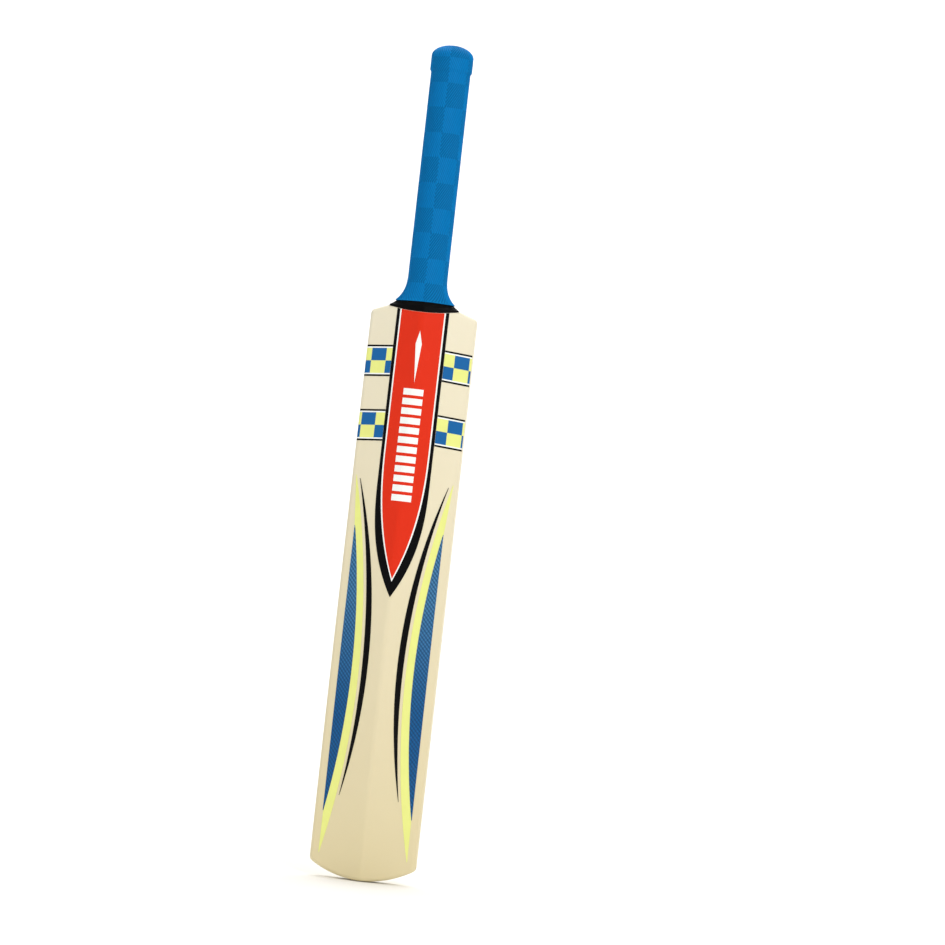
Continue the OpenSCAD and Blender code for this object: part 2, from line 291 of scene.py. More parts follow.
# Makes an object from points in mm and faces, riding on the body and standing for a CAD node
def makePiece(name, points, faces, materials, node, indices=None, smoothAngle=35):
    mesh = bpy.data.meshes.new(name)
    mesh.from_pydata([tuple(p) for p in np.asarray(points) * mm], [], faces)
    for material in materials:
        mesh.materials.append(material)
    if indices is not None:
        mesh.polygons.foreach_set("material_index", np.asarray(indices, np.int32))
    mesh.validate()
    mesh.shade_smooth()
    mesh.set_sharp_from_angle(angle=math.radians(smoothAngle))
    piece = bpy.data.objects.new(name, mesh)
    scene.collection.objects.link(piece)
    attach(piece, "root")
    if node:
        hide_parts(node)
    return piece


def gridFaces(rows, columns, closed=False, start=0):
    last = columns if closed else columns - 1
    return [(start + j * columns + i, start + j * columns + (i + 1) % columns,
             start + (j + 1) * columns + (i + 1) % columns, start + (j + 1) * columns + i)
            for j in range(rows - 1) for i in range(last)]


# Materials

# Blow-moulded HDPE: waxy and slightly clouded, with the faint grain of a blasted mould. The cream
# is graded darker and yellower towards the toe: painted shade for the light that falls off down the blade.
def blowMouldedHdpe(finish):
    made, tree, shader = startMaterial(
        "blowMouldedHdpe", IOR=1.54, Specular_IOR_Level=0.3, Subsurface_Weight=0.06, Subsurface_Scale=0.004)
    shader.inputs["Subsurface Radius"].default_value = (1.0, 0.8, 0.5)
    place = addNode(tree, "ShaderNodeTexCoord").outputs["Object"]
    cloud = addNode(tree, "ShaderNodeTexNoise", inputs={
        "Vector": place, "Scale": 1 / (finish["cloudMm"] * mm), "Detail": 3.0})
    tint = addNode(tree, "ShaderNodeMix", {"data_type": "RGBA"}, {"Factor": cloud.outputs["Fac"]})
    tint.inputs["A"].default_value = linearHex(finish["cream"])
    tint.inputs["B"].default_value = linearHex(finish["creamPale"])
    height = addNode(tree, "ShaderNodeSeparateXYZ", inputs={"Vector": place})
    # painted shade: the cream turns darker and yellower from the shoulders down to the toe
    paintedShadeRamp = addNode(tree, "ShaderNodeMapRange", inputs={
        "Value": height.outputs["Z"], "From Min": zShoulder * mm, "From Max": zToe * mm})
    paintedShadeMix = addNode(tree, "ShaderNodeMix", {"data_type": "RGBA"}, {"Factor": paintedShadeRamp.outputs["Result"]})
    tree.links.new(tint.outputs["Result"], paintedShadeMix.inputs["A"])
    paintedShadeMix.inputs["B"].default_value = linearHex(finish["creamPaintedShade"])
    tree.links.new(paintedShadeMix.outputs["Result"], shader.inputs["Base Color"])
    grain = addNode(tree, "ShaderNodeTexNoise", inputs={
        "Vector": place, "Scale": 1 / (finish["grainMm"] * mm), "Detail": 2.0})
    gloss = addNode(tree, "ShaderNodeMapRange", inputs={
        "Value": cloud.outputs["Fac"], "To Min": finish["roughness"] - 0.05,
        "To Max": finish["roughness"] + 0.05})
    tree.links.new(gloss.outputs["Result"], shader.inputs["Roughness"])
    relief = addNode(tree, "ShaderNodeBump", inputs={
        "Height": grain.outputs["Fac"], "Strength": 0.12, "Distance": 0.1 * mm})
    tree.links.new(relief.outputs["Normal"], shader.inputs["Normal"])
    return made


# Moulded natural rubber: dull, with a bloom that pales it in patches, and painted shade darkening
# the hollows between its ribs, so the ribbing reads even in flat light
def mouldedRubber(name, colour, pale, paintedGrooveShade, roughness):
    made, tree, shader = startMaterial(name, IOR=1.52, Specular_IOR_Level=0.07)
    place = addNode(tree, "ShaderNodeTexCoord").outputs["Object"]
    bloom = addNode(tree, "ShaderNodeTexNoise", inputs={
        "Vector": place, "Scale": 1 / (9 * mm), "Detail": 4.0})
    tint = addNode(tree, "ShaderNodeMix", {"data_type": "RGBA"}, {"Factor": bloom.outputs["Fac"]})
    tint.inputs["A"].default_value = linearHex(colour)
    tint.inputs["B"].default_value = linearHex(pale)
    # painted shade in the rib hollows, read from each point's groove depth
    depth = addNode(tree, "ShaderNodeAttribute", {"attribute_name": "ribPaintedShade"})
    shaded = addNode(tree, "ShaderNodeMix", {"data_type": "RGBA"}, {"Factor": depth.outputs["Fac"]})
    tree.links.new(tint.outputs["Result"], shaded.inputs["A"])
    shaded.inputs["B"].default_value = linearHex(paintedGrooveShade)
    tree.links.new(shaded.outputs["Result"], shader.inputs["Base Color"])
    gloss = addNode(tree, "ShaderNodeMapRange", inputs={
        "Value": bloom.outputs["Fac"], "To Min": roughness - 0.06, "To Max": roughness + 0.06})
    tree.links.new(gloss.outputs["Result"], shader.inputs["Roughness"])
    grain = addNode(tree, "ShaderNodeTexNoise", inputs={
        "Vector": place, "Scale": 1 / (0.5 * mm), "Detail": 2.0})
    relief = addNode(tree, "ShaderNodeBump", inputs={
        "Height": grain.outputs["Fac"], "Strength": 0.15, "Distance": 0.06 * mm})
    tree.links.new(relief.outputs["Normal"], shader.inputs["Normal"])
    return made


# Plasticised PVC tape: a low sheen broken by the fine creases of stretching it round a curve
def stretchedPvcTape():
    made, tree, shader = startMaterial("stretchedPvcTape", IOR=1.53, Specular_IOR_Level=0.06)
    place = addNode(tree, "ShaderNodeTexCoord").outputs["Object"]
    squeeze = addNode(tree, "ShaderNodeMapping", inputs={"Vector": place, "Scale": (1.0, 1.0, 4.0)})
    crease = addNode(tree, "ShaderNodeTexNoise", inputs={
        "Vector": squeeze.outputs["Vector"], "Scale": 1 / (5 * mm), "Detail": 3.0})
    tint = addNode(tree, "ShaderNodeMix", {"data_type": "RGBA"}, {"Factor": crease.outputs["Fac"]})
    tint.inputs["A"].default_value = linearHex("#030304")
    tint.inputs["B"].default_value = linearHex("#060607")
    tree.links.new(tint.outputs["Result"], shader.inputs["Base Color"])
    gloss = addNode(tree, "ShaderNodeMapRange", inputs={
        "Value": crease.outputs["Fac"], "To Min": 0.32, "To Max": 0.5})
    tree.links.new(gloss.outputs["Result"], shader.inputs["Roughness"])
    relief = addNode(tree, "ShaderNodeBump", inputs={
        "Height": crease.outputs["Fac"], "Strength": 0.3, "Distance": 0.15 * mm})
    tree.links.new(relief.outputs["Normal"], shader.inputs["Normal"])
    return made


# Printed vinyl film: solid ink under a clear gloss, rippled slightly by the glue beneath
def printedVinyl(name, colour, roughness=0.26, gloss=0.08, hatchAndPaintedHaze=None):
    made, tree, shader = startMaterial(name, IOR=1.5, Specular_IOR_Level=gloss)
    place = addNode(tree, "ShaderNodeTexCoord").outputs["Object"]
    ripple = addNode(tree, "ShaderNodeTexNoise", inputs={
        "Vector": place, "Scale": 1 / (14 * mm), "Detail": 1.0})
    ink = addNode(tree, "ShaderNodeMix", {"data_type": "RGBA"}, {"Factor": ripple.outputs["Fac"]})
    ink.inputs["A"].default_value = linearHex(colour)
    ink.inputs["B"].default_value[:3] = [c * 1.06 for c in linearHex(colour)[:3]]
    colourOut = ink.outputs["Result"]
    if hatchAndPaintedHaze:
        # painted reflection: the ink is made paler towards the handle, standing for a soft gloss haze
        height = addNode(tree, "ShaderNodeSeparateXYZ", inputs={"Vector": place})
        paintedHazeRamp = addNode(tree, "ShaderNodeMapRange", inputs={
            "Value": height.outputs["Z"], "From Min": (zShoulder - hatchAndPaintedHaze["paintedHazeTo"]) * mm,
            "From Max": (zShoulder - hatchAndPaintedHaze["paintedHazeFrom"]) * mm})
        paintedHazeMix = addNode(tree, "ShaderNodeMix", {"data_type": "RGBA"}, {"Factor": paintedHazeRamp.outputs["Result"]})
        tree.links.new(colourOut, paintedHazeMix.inputs["A"])
        paintedHazeMix.inputs["B"].default_value = linearHex(hatchAndPaintedHaze["pale"])
        colourOut = paintedHazeMix.outputs["Result"]
        # two crossing sets of printed lines, drawn a little coarser than the real ones so they show
        for turn, share in ((hatchAndPaintedHaze["angle"], 1.0), (-hatchAndPaintedHaze["angle"], 0.5)):
            lay = addNode(tree, "ShaderNodeMapping", inputs={
                "Vector": place, "Rotation": (0.0, math.radians(turn), 0.0)})
            lines = addNode(tree, "ShaderNodeTexWave", {"bands_direction": "X"}, {
                "Vector": lay.outputs["Vector"], "Scale": 1 / (hatchAndPaintedHaze["pitchMm"] * mm * 3.18)})
            depth = addNode(tree, "ShaderNodeMath", {"operation": "MULTIPLY"}, {0: lines.outputs["Fac"]})
            depth.inputs[1].default_value = hatchAndPaintedHaze["depth"] * share
            dark = addNode(tree, "ShaderNodeMix", {"data_type": "RGBA"}, {"Factor": depth.outputs["Value"]})
            tree.links.new(colourOut, dark.inputs["A"])
            dark.inputs["B"].default_value = linearHex(hatchAndPaintedHaze["colour"])
            colourOut = dark.outputs["Result"]
    tree.links.new(colourOut, shader.inputs["Base Color"])
    polish = addNode(tree, "ShaderNodeMapRange", inputs={
        "Value": ripple.outputs["Fac"], "To Min": roughness - 0.05, "To Max": roughness + 0.05})
    tree.links.new(polish.outputs["Result"], shader.inputs["Roughness"])
    relief = addNode(tree, "ShaderNodeBump", inputs={
        "Height": ripple.outputs["Fac"], "Strength": 0.05, "Distance": 0.2 * mm})
    tree.links.new(relief.outputs["Normal"], shader.inputs["Normal"])
    return made


# the third cream is painted shade, reached at the toe
hdpeFinish = {
    "cream": "#E5DEC5", "creamPale": "#EAE3CC", "creamPaintedShade": "#DCCFA6",
    "cloudMm": 60.0, "grainMm": 0.6, "roughness": 0.42,
}
creamPlastic = blowMouldedHdpe(hdpeFinish)
# two copies of one rubber: the second is rougher, and its darker blues are painted shade for how the ribs of
# alternate panels catch the light
rubberPaintedLit = mouldedRubber("mouldedRubberPaintedLit", "#007CC3", "#0081C8", "#0064A0", 0.55)
rubberDullPaintedShade = mouldedRubber("mouldedRubberDullPaintedShade", "#0074B6", "#0078BA", "#00588C", 0.65)
blackTape = stretchedPvcTape()
inkRed = printedVinyl("printedVinylRed", "#D9321B")
inkBlack = printedVinyl("printedVinylBlack", "#08080A")
inkWhite = printedVinyl("printedVinylWhite", "#F0F4F2")
inkYellow = printedVinyl("printedVinylYellow", "#E3E88A")
inkCheckBlue = printedVinyl("printedVinylCheckBlue", "#1F62A0")
# the woven blue carries a painted reflection: its ink pales to a hazy blue towards the handle
inkBlue = printedVinyl("printedVinylWovenBlue", "#005E9E", gloss=0.25, hatchAndPaintedHaze={
    "angle": 40.0, "pitchMm": 2.4, "depth": 0.75, "colour": "#002F55",
    "pale": "#4C8ABC", "paintedHazeFrom": 240.0, "paintedHazeTo": 340.0})  # drops below the shoulders, in mm
print("stage: materials")

# Blade and handle: one hollow moulding, so one closed mesh


# Offsets in from an edge that crowd towards it, then even steps to the far limit
def crowded(near, far, step):
    steps = max(1, round((far - near[-1]) / step))
    return list(near) + [near[-1] + (far - near[-1]) * i / steps for i in range(1, steps + 1)]


def fillet(distance, radius):
    d = np.clip(distance, 0, radius)
    return radius - np.sqrt(np.maximum(radius ** 2 - (radius - d) ** 2, 0))


cornerX = halfWidth - moulding["toeRadius"]
toeMiddle = zToe + toeArc
toeFar = toeArc - moulding["toeRadius"]
toeTurn = math.acos(cornerX / toeFar)
toeCornerZ = toeMiddle - toeFar * math.sin(toeTurn)
angleS = math.radians(moulding["shoulderAngle"])
ledge, ledgeIn = 0.3, 0.8  # where the shoulders start, and how far they run on inside the neck
shoulderX = halfWidth - moulding["shoulderRadius"]
shoulderCornerZ = (zShoulder - ledge
                   + (-moulding["shoulderRadius"] - (shoulderX - moulding["neckHalf"]) * math.sin(angleS))
                   / math.cos(angleS))
topZ = zShoulder - ledge + ledgeIn
topX = moulding["neckHalf"] - ledgeIn / math.tan(angleS)


# Lowest and highest z of the blade's outline at x
def outlineAt(x):
    x = abs(x)
    if x <= toeArc * math.cos(toeTurn):
        low = toeMiddle - math.sqrt(toeArc ** 2 - x ** 2)
    else:
        low = toeCornerZ - math.sqrt(max(moulding["toeRadius"] ** 2 - (x - cornerX) ** 2, 0))
    if x <= topX:
        high = topZ
    elif x <= shoulderX + moulding["shoulderRadius"] * math.sin(angleS):
        high = topZ - (x - topX) * math.tan(angleS)
    else:
        high = shoulderCornerZ + math.sqrt(max(moulding["shoulderRadius"] ** 2 - (x - shoulderX) ** 2, 0))
    return low, high


# How far points are inside the toe's and the shoulders' outline, in mm
def insideRim(x, z):
    x = np.abs(x)
    toe = toeArc - np.hypot(x, z - toeMiddle)
    inCorner = (x > cornerX) & (z < toeCornerZ)
    toe = np.where(inCorner, moulding["toeRadius"] - np.hypot(x - cornerX, z - toeCornerZ), toe)
    toe = np.where(z > toeCornerZ + 12, 99, toe)
    top = (topZ - z) * math.cos(angleS) - np.maximum(x - topX, 0) * math.sin(angleS)
    inShoulder = (x > shoulderX) & (z > shoulderCornerZ)
    top = np.where(inShoulder, moulding["shoulderRadius"] - np.hypot(x - shoulderX, z - shoulderCornerZ), top)
    return np.minimum(toe, top)


def bladeMesh():
    near = [0, 0.12, 0.4, 0.85, 1.5, 2.3, 3.2, 4.2, 5.5]
    ridgeIn = [0, 0.7, 1.4, 2.1, 2.8, 3.6]
    outer = crowded(near, halfWidth - 3.6, 2.2)
    half = sorted(set([round(halfWidth - d, 4) for d in outer] + ridgeIn))
    xs = np.array([-x for x in reversed(half) if x > 0] + half)
    length = zShoulder - zToe
    ends = crowded(near, length / 2, 4.0)
    v = np.array(ends + [length - d for d in reversed(ends[:-1])]) / length
    lows, highs = zip(*(outlineAt(x) for x in xs))
    lows, highs = np.array(lows), np.array(highs)
    z = lows[None, :] + (highs - lows)[None, :] * v[:, None]
    x = np.broadcast_to(xs[None, :], z.shape)
    rim = insideRim(x, z)
    yBack = backY(x, z) + fillet(rim, moulding["rimRadius"])
    sideIn = halfWidth - np.abs(x)
    yFace = moulding["face"] - np.maximum(fillet(sideIn, moulding["faceRadius"]),
                                          fillet(rim, moulding["faceRadius"]))
    rows, columns = z.shape
    back = np.stack([x, yBack, z], -1).reshape(-1, 3)
    face = np.stack([x, yFace, z], -1).reshape(-1, 3)
    faces = gridFaces(rows, columns)
    count = rows * columns
    faces += [tuple(reversed([i + count for i in f])) for f in faces]
    # the wall between the two sheets, with the mould's parting line down its middle
    loop = ([i for i in range(columns)]
            + [j * columns + columns - 1 for j in range(1, rows)]
            + [(rows - 1) * columns + i for i in range(columns - 2, -1, -1)]
            + [j * columns for j in range(rows - 2, 0, -1)])
    rimBack = back[loop]
    ahead, behind = np.roll(rimBack, -1, 0), np.roll(rimBack, 1, 0)
    run = (ahead - behind)[:, [0, 2]]
    run /= np.maximum(np.linalg.norm(run, axis=1, keepdims=True), 1e-9)
    outward = np.stack([run[:, 1], np.zeros(len(run)), -run[:, 0]], 1)
    partY = moulding["face"] - 5.5  # the line keeps one distance behind the face
    stations = ((-0.7, 0), (-0.35, -1), (0, 0), (0.35, -1), (0.7, 0))  # mm from the line, share of depth
    points = [back, face]
    n = len(loop)
    rings = [list(loop)]
    total = 2 * count
    for offset, share in stations:
        ring = rimBack.copy()
        ring[:, 1] = partY + offset
        ring += outward * share * moulding["partingDepth"]
        points.append(ring)
        rings.append(list(range(total, total + n)))
        total += n
    rings.append([i + count for i in loop])
    for a, b in zip(rings, rings[1:]):
        faces += [(a[(i + 1) % n], a[i], b[i], b[(i + 1) % n]) for i in range(n)]
    return np.concatenate(points), faces


# Handle core and neck, from just under the plug down into the blade
def coreMesh():
    sides = 96
    angles = np.arange(sides) * 2 * math.pi / sides
    zTop = bladeHigh.z
    levels = [zTop, zTop - 0.3] + [mix(zTop - 2, zNeck, i / 12) for i in range(13)]
    levels += [mix(zNeck, zShoulder, i / 20) for i in range(1, 21)] + [zShoulder - 3]
    points = []
    for i, z in enumerate(levels):
        grown = -0.5 if i == 0 else (-3.0 if i == len(levels) - 1 else 0.0)
        x, y = neckRing(z, grown, angles)
        points.append(np.stack([x, y, np.full(sides, z)], 1))
    faces = [tuple(reversed(f)) for f in gridFaces(len(levels), sides, closed=True)]
    faces.append(tuple(range(sides)))
    faces.append(tuple((len(levels) - 1) * sides + i for i in reversed(range(sides))))
    return np.concatenate(points), faces


def buildBlade():
    points, faces = bladeMesh()
    blade = makePiece("blade", points, faces, [creamPlastic], "blade_body")
    points, faces = coreMesh()
    core = makePiece("core", points, faces, [creamPlastic], None)
    for piece in (blade, core):
        turned = bmesh.new()
        turned.from_mesh(piece.data)
        bmesh.ops.recalc_face_normals(turned, faces=turned.faces)
        turned.to_mesh(piece.data)
        turned.free()
    join = blade.modifiers.new("join", "BOOLEAN")
    join.operation, join.solver, join.object = "UNION", "EXACT", core
    bpy.context.view_layer.update()
    joined = bpy.data.meshes.new_from_object(blade.evaluated_get(bpy.context.evaluated_depsgraph_get()))
    blade.modifiers.clear()
    blade.data = joined
    joined.name = "blade"
    bpy.data.objects.remove(core)
    joined.shade_smooth()
    joined.set_sharp_from_angle(angle=math.radians(35))


buildBlade()
print("stage: blade")

# Grip: one rubber sleeve whose fine diagonal ribs change direction from panel to panel

gripShape = {
    "wall": 2.2,
    "capProud": 1.05,  # how far the cap stands out from the sleeve
    "capHeight": 22.0,
    "capBevel": 1.5,
    "domeHeight": 10.0,
    "panelColumns": 6,
    "panelRow": 21.2,  # height of a panel
    "firstRow": 11.6,  # drop from the top to the first change of panel
    "ribsPerPanel": 9,
    "ribSlope": 60.0,  # degrees from level
    "ribDepth": 0.6,
    "lip": 0.7,  # rounding of the skirt's edge
    "anglesPerRib": 6,
    "rowStep": 0.9,
}


# Rows down the grip, as (z, radius or None on the neck, rib depth's share, outward radius and z)
def gripProfile():
    g = gripShape
    top = gripHigh.z
    sleeve = moulding["core"] + g["wall"]
    cap, dome = sleeve + g["capProud"], g["domeHeight"]
    rows = []
    for i in range(1, 37):
        t = math.radians(90 - 2.5 * i)
        radius, rise = cap * math.cos(t), dome * math.sin(t)
        along, up = radius / cap ** 2, rise / dome ** 2
        size = math.hypot(along, up)
        rows.append((top - dome + rise, radius, min(1, radius / 7), along / size, up / size))
    capEnd = top - g["capHeight"]
    z = top - dome - g["rowStep"]
    while z > gripLow.z + g["lip"]:
        if z > capEnd:
            radius = cap
        elif z > capEnd - g["capBevel"]:
            radius = mix(cap, sleeve, (capEnd - z) / g["capBevel"])
        else:
            radius = None
        rows.append((z, radius, 1, 1, 0))
        z -= g["rowStep"]
    return rows


def buildGrip():
    g = gripShape
    ribs = g["panelColumns"] * g["ribsPerPanel"]
    sides = ribs * g["anglesPerRib"]
    turn = np.arange(sides) * 2 * math.pi / sides  # from the middle of the back
    angles = turn - math.pi / 2
    column = np.floor(turn / (2 * math.pi) * g["panelColumns"] + 1e-6)
    girth = 2 * math.pi * (moulding["core"] + g["wall"])
    dropPerRib = girth / ribs * math.tan(math.radians(g["ribSlope"]))
    points, parity, paintedGrooveShade = [], [], []
    run = 0.0
    last = None
    for z, radius, share, outward, upward in gripProfile():
        if radius is None:
            x, y = neckRing(z, g["wall"], angles)
        else:
            x, y = radius * np.cos(angles), radius * np.sin(angles)
        here = (z, float(np.hypot(x[0], y[0])))
        if last:
            run += math.hypot(here[0] - last[0], here[1] - last[1])
        last = here
        row = math.floor((gripHigh.z - z - g["firstRow"]) / g["panelRow"])
        flip = (column + row) % 2
        phase = turn / (2 * math.pi) * ribs + np.where(flip > 0, 1, -1) * run / dropPerRib
        groove = g["ribDepth"] * share * (0.5 - 0.5 * np.cos(2 * math.pi * phase)) ** 1.5
        k = 1 - groove * outward / np.hypot(x, y)
        points.append(np.stack([x * k, y * k, z - groove * upward], 1))
        # the groove's depth share, kept to paint shade into the hollows
        paintedGrooveShade.append(groove / g["ribDepth"])
        parity.append(flip)
    # the skirt's rounded lip, then back up under it to the neck
    end = gripLow.z
    for z, grown in ((end + 0.25, g["wall"] - 0.15), (end, g["wall"] - 0.6), (end, 0.1), (end + 3, 0.05)):
        x, y = neckRing(z, grown, angles)
        points.append(np.stack([x, y, np.full(sides, z)], 1))
        parity.append(parity[-1])
        paintedGrooveShade.append(np.zeros(sides))
    faces = [tuple(reversed(f)) for f in gridFaces(len(points), sides, closed=True)]
    indices = [int(parity[j][i]) for j in range(len(points) - 1) for i in range(sides)]
    allPoints = np.concatenate(points + [np.array([(0, 0, gripHigh.z - 0.02)])])
    pole = len(allPoints) - 1
    faces += [(pole, i, (i + 1) % sides) for i in range(sides)]
    indices += [0] * sides
    lastRing = (len(points) - 1) * sides
    faces.append(tuple(lastRing + i for i in reversed(range(sides))))
    indices.append(0)
    # alternate panels take the second copy, whose darker blue is painted shade
    piece = makePiece(
        "grip", allPoints, faces, [rubberPaintedLit, rubberDullPaintedShade], "grip", indices, 60)
    shade = piece.data.attributes.new("ribPaintedShade", "FLOAT", "POINT")
    shade.data.foreach_set("value", np.concatenate(paintedGrooveShade + [np.zeros(1)]).astype(np.float32))


buildGrip()
print("stage: grip")

# Collar: tape wound round the neck in overlapping turns, lapping onto the blade

collarShape = {
    "tape": 0.4,
    "turns": 2.0,
    "step": 0.12,  # depth of the crease where one turn overlaps the last
    "rowStep": 0.35,
    "bridge": 3.0,  # height over which it meets the blade
    "turnedIn": 1.2,
    "rootDepth": 4.0,
    "rootRise": 3.0,
}


# z of the lap's lower edge on the back: a shallow arc, lowest in the middle
def lapZ(x):
    reach = moulding["neckHalf"] + collarShape["tape"]
    return (zShoulder - tapeLap["middle"]
            + (tapeLap["middle"] - tapeLap["end"]) * np.minimum(np.abs(x) / reach, 1) ** 2)


def buildCollar():
    c = collarShape
    sides = 240
    angles = np.arange(sides) * 2 * math.pi / sides
    xEnd, _ = neckRing(zShoulder, c["tape"], angles)
    front = np.clip((np.sin(angles) + 0.02) / 0.1, 0, 1)  # on the face it stops above the flat
    low = mix(lapZ(xEnd), topZ + 0.02, front)
    top = gripLow.z
    count = int((top - zShoulder + tapeLap["middle"]) / c["rowStep"])
    points = []
    for j in range(count + 1):
        z = mix(top, low, j / count)
        grown = c["tape"] * (0.4 if j in (0, count) else 1.0)
        rings = [neckRing(float(v), grown, angles[i:i + 1]) for i, v in enumerate(z)]
        x, y = (np.array([r[axis][0] for r in rings]) for axis in (0, 1))
        # each turn overlaps the last, so a fine crease climbs round the neck
        climb = (j / count * c["turns"] - angles / (2 * math.pi)) % 1.0
        k = 1 - c["step"] * np.clip(1 - np.abs(climb - 0.5) * 7, 0, 1) / np.hypot(x, y)
        x, y = x * k, y * k
        # stretched over the step from the neck to the blade's back, which it follows below
        onBack = np.clip((zShoulder + c["bridge"] - z) / c["bridge"], 0, 1) ** 2 * (y < 0)
        back = backY(np.minimum(np.abs(x), halfWidth), z, grown)
        y = mix(y, np.minimum(y, back), onBack)
        points.append(np.stack([x, y, z], 1))
    # the edge turns in, and the inside closes within the neck
    for depth, z in ((c["turnedIn"], low), (c["rootDepth"], np.full(sides, zShoulder + c["rootRise"]))):
        k = 1 - depth / np.hypot(points[count][:, 0], points[count][:, 1])
        points.append(np.stack([points[count][:, 0] * k, points[count][:, 1] * k, z], 1))
    faces = [tuple(reversed(f)) for f in gridFaces(len(points), sides, closed=True)]
    faces.append(tuple(range(sides)))
    faces.append(tuple((len(points) - 1) * sides + i for i in reversed(range(sides))))
    makePiece("collar", np.concatenate(points), faces, [blackTape], "collar_tape", None, 40)


buildCollar()
print("stage: collar")

# Printed films, draped on the back. Places along the blade are drops below the shoulders.

filmShape = {
    "thick": 0.2,
    "edge": 0.4,  # how far the films stop short of the blade's sides
    "gap": 0.2,
    "inkThick": 0.04,
    "across": 1.6,  # most that a strip's columns are apart
    "along": 3.0,
}
spineShape = {
    "half": 22.0, "straight": 145.0, "point": 99.5, "power": 2.7,
    "innerHalf": 19.3, "innerStraight": 120.0, "innerPoint": 111.5, "innerPower": 2.45,
    "keyline": 1.15,
    "follow": 9.0,  # length over which the film's top follows the arc of the collar
    "kiteTop": 20.5, "kiteLength": 44.0, "kiteHalf": 2.6,
    "barsTop": 69.5, "barPitch": 8.1, "barHeight": 5.4, "bars": 12, "barHalf": 8.4,
}
bandShape = {
    "drops": (47.5, 102.0), "height": 26.5, "slope": 4.0, "line": 1.5, "white": 1.15,
    # distances of the check's column edges from the middle: left and right of each band
    "columns": {(-1, 0): (27.1, 39.8), (1, 0): (30.6, 42.9), (-1, 1): (30.0, 42.3), (1, 1): (31.2, 43.3)},
}
# each edge is the arc through three points: (drop below the shoulders, distance from the middle)
flashShape = {
    "blueIn": ((187.8, 37.3), (306.0, 26.2), (428.0, 37.3)),
    "yellowIn": ((145.8, 40.9), (304.6, 19.9), (463.3, 37.2)),
    "blackOut": ((148.3, 37.7), (304.6, 17.3), (413.7, 25.3)),
    "blackIn": ((148.3, 37.3), (313.0, 12.5), (413.7, 25.0)),
    "tip": 0.4,  # width that a flash keeps at its tips
    "rows": 90,
    "endRows": 16,
    "least": 0.1,  # least width of a yellow flash
}


# Builds sheets from strips: each is (zs, left x, right x, material index), laid on the back
def drapedStrips(strips, base, thick, bend=None):
    points, faces, indices = [], [], []
    for zs, left, right, material in strips:
        zs, left, right = (np.asarray(a, float) for a in (zs, left, right))
        widest = float(np.max(np.abs(right - left)))
        columns = max(2, math.ceil(widest / filmShape["across"]) + 1)
        t = np.linspace(0, 1, columns)
        x = left[:, None] + (right - left)[:, None] * t[None, :]
        z = np.broadcast_to(zs[:, None], x.shape)
        z = bend(x, z) if bend else z
        y = backY(x, z, base + thick)
        start = sum(len(p) for p in points)
        points.append(np.stack([x, y, z], -1).reshape(-1, 3))
        made = gridFaces(len(zs), columns, start=start)
        faces += made
        indices += [material] * len(made)
    return np.concatenate(points), faces, indices


def finishFilm(piece, thick):
    work = bmesh.new()
    work.from_mesh(piece.data)
    bmesh.ops.remove_doubles(work, verts=work.verts, dist=0.004 * mm)
    bmesh.ops.dissolve_degenerate(work, edges=work.edges, dist=0.002 * mm)
    bmesh.ops.recalc_face_normals(work, faces=work.faces)
    if sum(f.normal.y for f in work.faces) > 0:
        bmesh.ops.reverse_faces(work, faces=work.faces)
    work.to_mesh(piece.data)
    work.free()
    solid = piece.modifiers.new("thickness", "SOLIDIFY")
    solid.thickness, solid.offset = thick * mm, -1.0
    bpy.context.view_layer.update()
    made = bpy.data.meshes.new_from_object(piece.evaluated_get(bpy.context.evaluated_depsgraph_get()))
    piece.modifiers.clear()
    piece.data = made
    made.name = piece.name
    made.shade_smooth()
    made.set_sharp_from_angle(angle=math.radians(35))


def ogive(drop, half, straight, point, power):
    s = np.clip((drop - straight) / point, 0, 1)
    return half * (1 - s ** power)


def buildSpine():
    s = spineShape
    top = tapeLap["middle"] + filmShape["gap"]
    tips = [s["innerStraight"] + s["innerPoint"] - s["keyline"] * 2, s["innerStraight"] + s["innerPoint"],
            s["straight"] + s["point"]]
    drops = np.unique(np.concatenate([
        np.arange(top, s["innerStraight"], filmShape["along"]),
        np.linspace(s["innerStraight"], tips[0], 60), np.linspace(tips[0], tips[1], 5),
        np.linspace(tips[1], tips[2], 14)]))
    outer = ogive(drops, s["half"], s["straight"], s["point"], s["power"])
    inner = ogive(drops, s["innerHalf"], s["innerStraight"], s["innerPoint"], s["innerPower"])
    panel = ogive(drops, s["innerHalf"] - s["keyline"], s["innerStraight"] - s["keyline"],
                  s["innerPoint"] - s["keyline"], s["innerPower"])
    zs = zShoulder - drops
    strips = [(zs, -outer, -inner, 0), (zs, -inner, -panel, 1), (zs, -panel, panel, 2),
              (zs, panel, inner, 1), (zs, inner, outer, 0)]

    def followLap(x, z):
        near = np.clip(1 - (zShoulder - top - z) / s["follow"], 0, 1)
        return z + (lapZ(x) - lapZ(0)) * near

    points, faces, indices = drapedStrips(strips, 0, filmShape["thick"], followLap)
    film = makePiece(
        "spineFilm", points, faces, [inkBlack, inkWhite, inkRed], "spine_film", indices)
    finishFilm(film, filmShape["thick"])

    # screen-printed marks: a slender kite and a ladder of plain bars
    kite = np.linspace(0, 1, 25)
    kiteHalf = s["kiteHalf"] * np.where(kite < 0.25, kite / 0.25, (1 - kite) / 0.75)
    marks = [(zShoulder - s["kiteTop"] - kite * s["kiteLength"], -kiteHalf, kiteHalf, 0)]
    for i in range(s["bars"]):
        drop = s["barsTop"] + i * s["barPitch"]
        rows = zShoulder - np.linspace(drop, drop + s["barHeight"], 4)
        marks.append((rows, np.full(4, -s["barHalf"]), np.full(4, s["barHalf"]), 0))
    points, faces, indices = drapedStrips(marks, filmShape["thick"], filmShape["inkThick"])
    ink = makePiece("spineMarks", points, faces, [inkWhite], None, indices)
    finishFilm(ink, filmShape["inkThick"])


